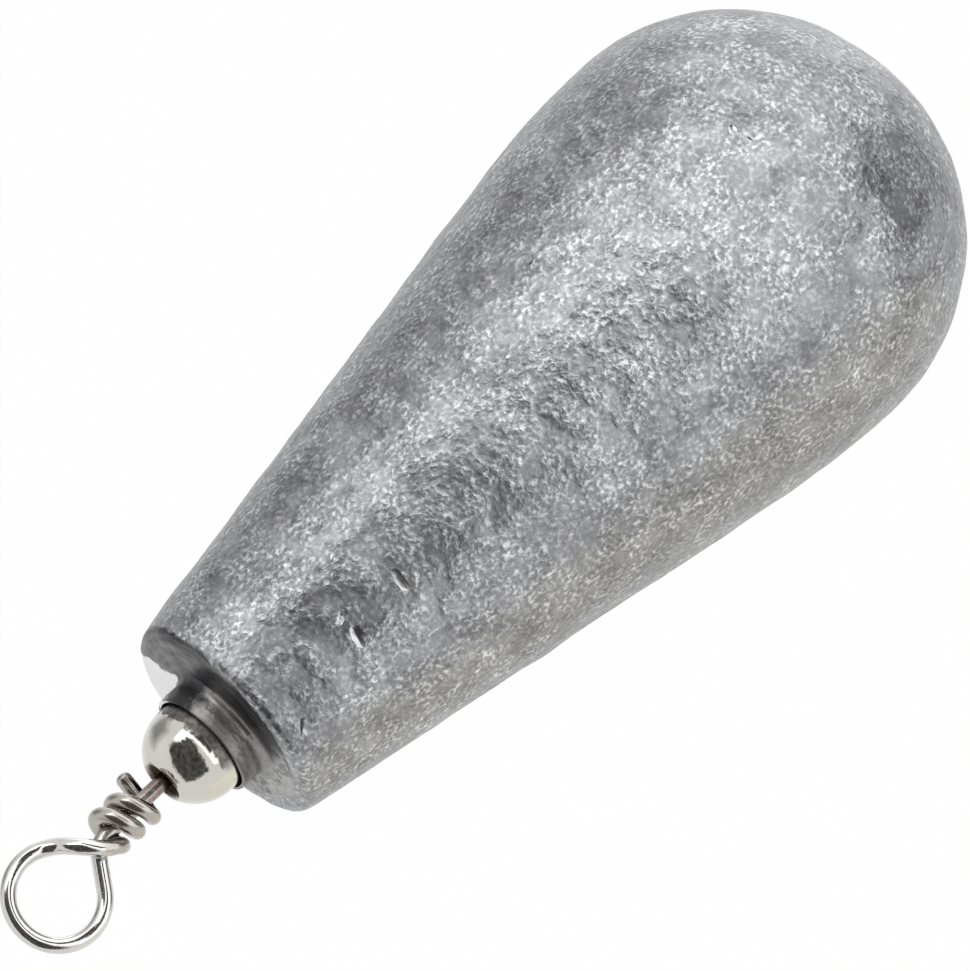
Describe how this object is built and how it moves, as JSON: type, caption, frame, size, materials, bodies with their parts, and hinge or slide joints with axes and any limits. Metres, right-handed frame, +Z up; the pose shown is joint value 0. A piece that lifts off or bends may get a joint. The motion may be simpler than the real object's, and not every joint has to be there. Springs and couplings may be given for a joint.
{
  "type": "fishing sinker",
  "caption": "Pear-shaped cast lead fishing sinker, hung from a cast-in barrel swivel whose twisted wire line eye turns freely.",
  "frame": {"origin": "on the swivel axis, inside the line loop, at the height of the loop's centre", "axes": "+Z up along the swivel axis, from the lead towards the loop; +Y along the loop's hole; the part hangs below its origin"},
  "size_m": [0.0204, 0.0204, 0.0561],
  "materials": {
    "lead": "bare cast lead, grained and slightly oxidised",
    "barrel_plating": "bright nickel plating on brass",
    "eye_wire": "polished stainless wire"
  },
  "bodies": {
    "eye": {"line_eye": "eye_wire"},
    "sinker": {"sinker_body": "lead", "swivel_barrel": "barrel_plating", "anchor_eye": "eye_wire"}
  },
  "joints": [
    {"name": "swivel_spin", "type": "hinge", "parent": "eye", "child": "sinker", "pos_m": [0, 0, -0.00787], "axis": [0, 0, 1], "continuous": true}
  ]
}
